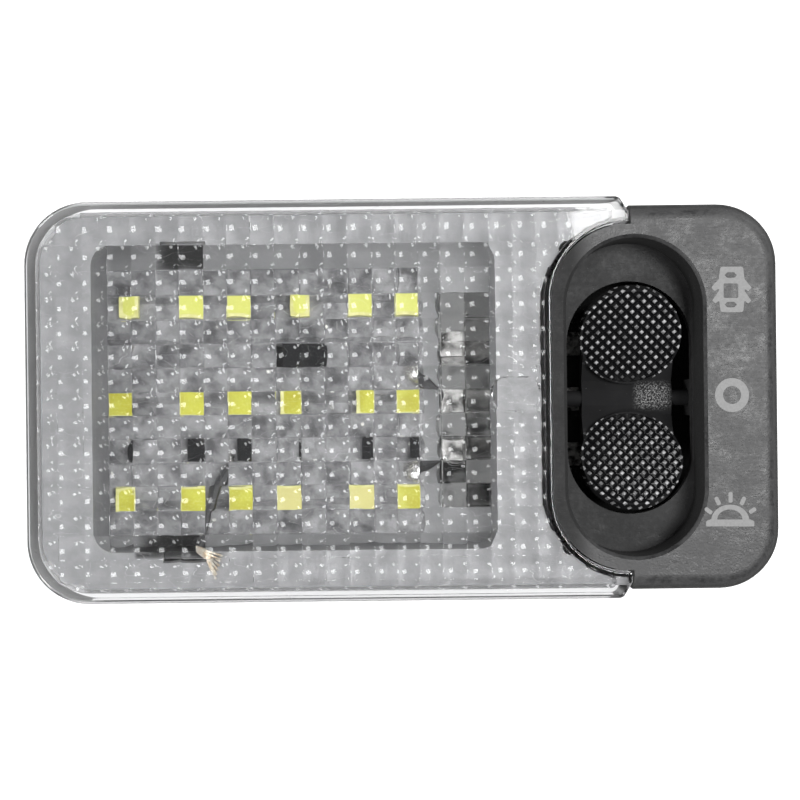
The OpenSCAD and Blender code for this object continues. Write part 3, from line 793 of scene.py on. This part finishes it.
def lens_outside(path, edge):
    """Points and faces of the skirt, its rounded edge and the face."""
    points = []
    faces = []
    count = len(path)
    rings = [([0.0] * count, [SKIRT_END] * count)]
    rings.append(([0.0] * count, [FACE - e for e in edge]))
    for k in range(1, EDGE_STEPS + 1):
        a = math.radians(90 * k / EDGE_STEPS)
        rings.append(([e * (1 - math.cos(a)) for e in edge],
                      [FACE - e + e * math.sin(a) for e in edge]))
    rings.append(([e + 0.15 for e in edge], [FACE] * count))
    for inset, level in rings:
        points += [(p.x, p.y, z) for p, z in zip(inward(path, inset), level)]
    for ring in range(len(rings) - 1):
        for i in range(count):
            j = (i + 1) % count
            a = ring * count
            faces.append((a + i, a + j, a + count + j, a + count + i))
    top = [Vector(points[(len(rings) - 1) * count + i][:2]) for i in range(count)]
    corners, triangles = fill([top])
    first = len(points)
    points += [(x, y, FACE) for x, y in corners]
    faces += [tuple(first + k for k in t) for t in triangles]
    return points, faces


print("rings of points on the outside:", EDGE_STEPS + 3)

# %% [markdown]
# ## Inside of the lens
# The pillowed sheet is one triangulation of the hollow's outline, of the borders between pillows,
# of the stations across each pillow and of the gate mark. Border pillows are cut off by the skirt
# as in the mould. The edges that belong to one triangle only are the sheet's border: a wall goes
# down from them to the foot of the skirt.

# %% Lens inside
def follow(edges):
    """The closed loop of points that a set of border edges makes."""
    beside = {}
    for a, b in edges:
        beside.setdefault(a, []).append(b)
        beside.setdefault(b, []).append(a)
    start = edges[0][0]
    loop = [start]
    last = None
    here = start
    while True:
        ways = [v for v in beside[here] if v != last]
        last, here = here, ways[0]
        if here == start:
            return loop
        loop.append(here)


def pillow_sheet():
    """Points and triangles of the pillowed sheet, in the flat, with each point's height."""
    xs = stations(column_lines)
    ys = stations(row_lines)
    extra = [(x, y) for y in ys for x in xs]
    row = len(xs)
    samples = len(SHARES)
    lines = [(j * row + i, j * row + i + 1) for j in range(0, len(ys), samples)
             for i in range(row - 1)]
    lines += [(j * row + i, (j + 1) * row + i) for j in range(len(ys) - 1)
              for i in range(0, row, samples)]
    for mark in (gate_outline(GATE_STEP), gate_outline(0.0)):
        base = len(extra)
        extra += [tuple(p) for p in mark]
        lines += [(base + i, base + (i + 1) % len(mark)) for i in range(len(mark))]
    corners, triangles = fill([hollow_outline()], extra, lines)
    in_flat = inside(corners, [tuple(p) for p in gate_outline(GATE_STEP * 0.9)])
    sheet = [(x, y, GATE_FLAT if flat else pillow_height(x, y))
             for (x, y), flat in zip(corners, in_flat)]
    return sheet, triangles


def border_edges(triangles):
    """The edges that only one triangle has."""
    used = {}
    for t in triangles:
        for a, b in ((t[0], t[1]), (t[1], t[2]), (t[2], t[0])):
            key = (min(a, b), max(a, b))
            used[key] = used.get(key, 0) + 1
    return [key for key, times in used.items() if times == 1]


def make_lens(material):
    """Joins the outside, the pillowed sheet, the wall down from it and the foot of the skirt."""
    path, edge = lens_outline()
    points, faces = lens_outside(path, edge)
    sheet, triangles = pillow_sheet()
    first = len(points)
    points += sheet
    faces += [tuple(first + k for k in reversed(t)) for t in triangles]
    border = border_edges(triangles)
    foot_of = {}
    for a, b in border:
        for v in (a, b):
            if v not in foot_of:
                foot_of[v] = len(points)
                points.append((sheet[v][0], sheet[v][1], SKIRT_END))
        faces.append((first + a, first + b, foot_of[b], foot_of[a]))
    loop = follow(border)
    corners, triangles = fill([path, [Vector(points[foot_of[v]][:2]) for v in loop]])
    first = len(points)
    points += [(x, y, SKIRT_END) for x, y in corners]
    faces += [tuple(first + k for k in t) for t in triangles]
    return new_piece("clear_lens", points, faces, material, turn=12)


print("points of the sheet's grid:", len(stations(column_lines)), "by", len(stations(row_lines)))

# %% [markdown]
# ## Acrylic
# Real acrylic bends light, and the pillows need that: each one shows a magnified bit of the board.
# Light that falls through a refracting mesh is slow to find in a path tracer, so shadow rays see
# the lens as a faintly grey film, while every other ray meets true glass. The surface carries a
# few hair scratches and a trace of haze.

# %% Lens finish
ACRYLIC_IOR = 1.49


def acrylic():
    material, place = new_finish("acrylic")
    haze = place.grain(6.0, 4)
    line = place.grain(3.0, 1, 0.4, (0.3, 1.0, 1.0)).ridge(0.0015)
    ripple = place.grain(1.6, 2)
    # The skirt is rougher, and it is tinted grey as painted shade that darkens what is seen through
    # it.
    skirt = place.axis("Z").ramp(21.5, 23.3, 1.0, 0.0)
    normal = place.node("ShaderNodeBump", {}, {"Height": ripple + line * -0.4, "Strength": 1.0,
                                               "Distance": 0.004 * MM})
    glass = place.node("ShaderNodeBsdfPrincipled", {}, {
        "Base Color": skirt.tint((0.945, 0.95, 0.955), (0.60, 0.60, 0.61)),
        "Roughness": haze * 0.05 + 0.01 + line * 0.25 + skirt * 0.25,
        "IOR": ACRYLIC_IOR, "Transmission Weight": 1.0, "Normal": normal})
    film = place.node("ShaderNodeBsdfTransparent", {}, {"Color": (0.9, 0.9, 0.9)})
    shadow = place.node("ShaderNodeLightPath", {}, {}, "Is Shadow Ray")
    mixed = place.node("ShaderNodeMixShader", {}, {0: shadow, 1: glass, 2: film})
    place.node("ShaderNodeOutputMaterial", {}, {"Surface": mixed})
    return material


lens = make_lens(acrylic())
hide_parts("lens")
print("lens:", len(lens.data.vertices), "points,", len(lens.data.polygons), "faces")

# %% [markdown]
# ## A drop of solder
# Where the ground wire was soldered to the board by hand, a pale lump stands. It is a low dome with
# a ragged foot, made of rings whose radius and height a slow noise pushes in and out, because a
# true half ball would look machined.

# %% Solder drop
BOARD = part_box("board")[1].z / MM
DROP_SIDES = 28
DROP_RINGS = 7


def make_drop(px, py, radius, height):
    """A lump of solder on the board at one pixel of the photograph."""
    middle = on_lamp(px, py, BOARD)
    points = [(middle.x, middle.y, BOARD + height)]
    faces = [(0, 1 + k, 1 + (k + 1) % DROP_SIDES) for k in range(DROP_SIDES)]
    for ring in range(1, DROP_RINGS + 1):
        lean = math.radians(90 * ring / DROP_RINGS)
        for k in range(DROP_SIDES):
            turn = math.tau * k / DROP_SIDES
            push = 1 + 0.35 * noise.noise(Vector((math.cos(turn) * 1.4, math.sin(turn) * 1.4, lean)))
            reach = radius * math.sin(lean) * push
            sunk = 0.02 if ring == DROP_RINGS else 0.0
            points.append((middle.x + reach * math.cos(turn), middle.y + reach * math.sin(turn),
                           BOARD + height * math.cos(lean) * push - sunk))
    for ring in range(DROP_RINGS - 1):
        first = 1 + ring * DROP_SIDES
        for k in range(DROP_SIDES):
            a = first + k
            b = first + (k + 1) % DROP_SIDES
            faces.append((a, a + DROP_SIDES, b + DROP_SIDES, b))
    last = 1 + (DROP_RINGS - 1) * DROP_SIDES
    faces.append(tuple(last + k for k in range(DROP_SIDES)))
    return new_piece("solder_drop", points, faces, solder)


drop = make_drop(232, 455, 1.0, 0.55)
print("solder drop:", len(drop.data.vertices), "points on the board at", round(BOARD, 2))

# %% [markdown]
# ## Printed signs
# Three light grey signs are pad-printed beside the rocker: a car with its doors open, a ring for
# off, and a shining lamp. Ink has a thickness, so each sign is a plate a few hundredths of a
# millimetre high that stands on the deck, laid out from the photograph by `on_lamp`.

# %% Ink and plates
INK = 0.03


def ink():
    material, place = new_finish("sign_ink")
    spots = place.grain(0.35, 3)
    colour = spots.ramp(0.3, 0.7).tint((0.33, 0.33, 0.33), (0.40, 0.40, 0.40))
    return surface(material, place, colour, spots * 0.2 + 0.45, spots, 0.01)


def printed(name, loops, material):
    """A thin plate of ink on the deck from closed outlines given in pixels of the photograph."""
    laid = [[on_lamp(px, py, DECK) for px, py in loop] for loop in loops]
    corners, triangles = fill(laid)
    points = [(x, y, DECK + INK) for x, y in corners]
    faces = list(triangles)
    for loop in laid:
        first = len(points)
        count = len(loop)
        points += [(p.x, p.y, DECK + INK) for p in loop]
        points += [(p.x, p.y, DECK - INK) for p in loop]
        for i in range(count):
            j = (i + 1) % count
            faces.append((first + i, first + j, first + count + j, first + count + i))
    return new_piece(name, points, faces, material, smooth=False)


def rounded(corners):
    """An outline in pixels with rounded corners."""
    return [tuple(p) for p in soft_path(corners, 1.5)]


sign_ink = ink()
print("signs stand on the deck at", round(DECK, 2))

# %% [markdown]
# ## The three signs
# The car is one outline with two wing-like open doors, and holes for its roof and windows. The
# ring is two circles. The shining lamp is a dome on a bar with five rays, each a short plate of
# its own. All are generic pictograms and hold no words.

# %% Signs
car = [
    rounded([(720.3, 266.7, 2.5), (743, 266.7, 2.5), (744.5, 279, 2), (751.6, 287.6, 0.8),
             (748.3, 291.2, 0.8), (744.6, 288.6, 0.8), (744.6, 291, 0.8), (751.2, 300.6, 0.8),
             (748.2, 303.6, 0.8), (744.3, 300.4, 0.8), (743.2, 312.2, 2.8), (720.5, 312.2, 2.8),
             (719.2, 300.6, 0.8), (715.2, 303.4, 0.8), (712.2, 300.4, 0.8), (719, 290.6, 0.8),
             (719, 288.6, 0.8), (714.6, 291, 0.8), (711.2, 287.6, 0.8), (718.6, 279, 2)]),
    rounded([(723.6, 283.4, 1.2), (738.2, 283.4, 1.2), (738.2, 298, 1.2), (723.6, 298, 1.2)]),
    rounded([(724.4, 275.2, 0.6), (727.4, 272.2, 2), (734, 272.2, 2), (737, 275.2, 0.6),
             (734, 278, 2), (727.4, 278, 2)]),
    rounded([(724.4, 304.6, 0.6), (727.4, 301.8, 2), (734, 301.8, 2), (737, 304.6, 0.6),
             (734, 307.4, 2), (727.4, 307.4, 2)])]
printed("sign_door", car, sign_ink)
printed("sign_off", [arc(732, 395, 17, 0, 354, 59), arc(732, 395, 9, 0, 350, 35)], sign_ink)
dome = arc(730.2, 521, 19.1, 182, 358, 32)
dome = [(x, 521 + (y - 521) * 0.86) for x, y in dome]
hole = arc(729.8, 519.5, 12.6, 180, 360, 24)
hole = [(x, 519.5 + (y - 519.5) * 0.8) for x, y in hole]
lamp_sign = rounded([(706, 526.4, 0.8), (706, 521, 2.2), (711, 519.2, 0.6)]
                    + [(x, y, 0) for x, y in dome[1:-1]]
                    + [(749.6, 519.2, 0.6), (754.3, 521, 2.2), (754.3, 526.4, 0.8)])
printed("sign_lamp", [lamp_sign, hole], sign_ink)
RAYS = [(730.5, 492.5, 730.5, 502.2), (715.9, 497.4, 719.3, 504.6), (744.6, 497.4, 741.1, 504.6),
        (705.4, 508.4, 711.6, 513.2), (755.5, 508.6, 749.6, 512.4)]
RAY_HALF = 2.1
for number, (x0, y0, x1, y1) in enumerate(RAYS, 1):
    a = Vector((x0, y0))
    b = Vector((x1, y1))
    along = (b - a).normalized() * RAY_HALF
    side = Vector((-along.y, along.x))
    ray = rounded([(*(a + side - along * 0.2), 1.6), (*(b + side + along * 0.2), 1.6),
                   (*(b - side + along * 0.2), 1.6), (*(a - side - along * 0.2), 1.6)])
    printed(f"sign_ray_{number}", [ray], sign_ink)
print("signs: car, ring, lamp and", len(RAYS), "rays")

# %% [markdown]
# ## The floor
# The lamp lies on a plain white floor. A floor lit only by lamps renders grey, and more light
# would bleach the lamp. So the floor adds light of its own for rays from the camera, from glossy
# surfaces and through glass: it reads as white and still keeps the lamp's shadow. Right under the
# lamp it adds none, or light would shine up through the screw holes.

# %% Floor
FLOOR_R = 3.0


def white_floor():
    material, place = new_finish("white_floor")
    path = place.tree.nodes.new("ShaderNodeLightPath").outputs
    seen = Signal(place.tree, path["Is Camera Ray"]).top(Signal(place.tree, path["Is Glossy Ray"]))
    seen = seen.top(Signal(place.tree, path["Is Transmission Ray"]))
    tone = place.grain(40.0, 2).tint((0.80, 0.80, 0.80), (0.82, 0.82, 0.82))
    out_x = place.axis("X").size() - HALF_L
    out_y = place.axis("Y").size() - HALF_W
    shade = out_x.top(out_y).ramp(-4.0, 3.0)
    shader = place.node("ShaderNodeBsdfPrincipled", {}, {
        "Base Color": tone, "Roughness": 0.9, "Specular IOR Level": 0.1,
        "Emission Color": (seen * shade).tint((0.0, 0.0, 0.0), (0.85, 0.85, 0.85)),
        "Emission Strength": 1.0})
    place.node("ShaderNodeOutputMaterial", {}, {"Surface": shader})
    return material


floor_mesh = bpy.data.meshes.new("floor")
ring = arc(0, 0, FLOOR_R, 0, 354, 59)
floor_mesh.from_pydata([(x, y, 0) for x, y in ring], [], [tuple(range(len(ring)))])
floor_mesh.materials.append(white_floor())
floor = bpy.data.objects.new("floor", floor_mesh)
bpy.context.collection.objects.link(floor)
print("floor:", len(ring), "sides,", 2 * FLOOR_R, "m across")

# %% [markdown]
# ## Soft boxes
# Every pillow shows each lamp as a small bright dot, and nearly black between them, so the studio
# is mostly dark: five small square soft boxes and a faint world. The key stands where the flat
# deck mirrors its wide gloss to the camera, the fill on the other side, and three low ones light
# the reflector and the sides. Together they give a level at which a colour renders as written.

# %% Lights
def soft_box(name, lean, towards, distance, size, radiance):
    """A square lamp at an angle from upright, leaning towards a compass side of the part."""
    light = bpy.data.lights.new(name, "AREA")
    light.shape = "SQUARE"
    light.size = size
    light.energy = radiance * math.pi * size * size
    box = bpy.data.objects.new(name, light)
    tilt = math.radians(lean)
    side = math.radians(towards)
    away = Vector((math.sin(tilt) * math.cos(side), math.sin(tilt) * math.sin(side),
                   math.cos(tilt)))
    box.location = away * distance
    box.rotation_euler = away.to_track_quat("Z", "Y").to_euler()
    bpy.context.collection.objects.link(box)


soft_box("key", 21, 12, 0.6, 0.19, 15.0)
soft_box("fill", 43, 220, 0.6, 0.12, 16.0)
soft_box("low_left", 66, 140, 0.7, 0.13, 12.0)
soft_box("low_right", 66, 40, 0.7, 0.13, 12.0)
soft_box("low_front", 66, 215, 0.7, 0.12, 12.0)
print("soft boxes:", [light.name for light in bpy.data.lights])

# %% [markdown]
# ## The world
# The world gives an even faint light, but the camera sees it white, so that the view over the edge
# of the floor is as white as the floor is.

# %% World
FAINT = 0.22
world = bpy.data.worlds.new("studio")
world.use_nodes = True
sky = world.node_tree
sky.nodes["Background"].inputs["Color"].default_value = (1, 1, 1, 1)
seen = Signal(sky, sky.nodes.new("ShaderNodeLightPath").outputs["Is Camera Ray"])
sky.links.new(seen.ramp(0.0, 1.0, FAINT, 1.0).socket, sky.nodes["Background"].inputs["Strength"])
bpy.context.scene.world = world
bpy.context.scene.view_settings.view_transform = "Standard"

# %% [markdown]
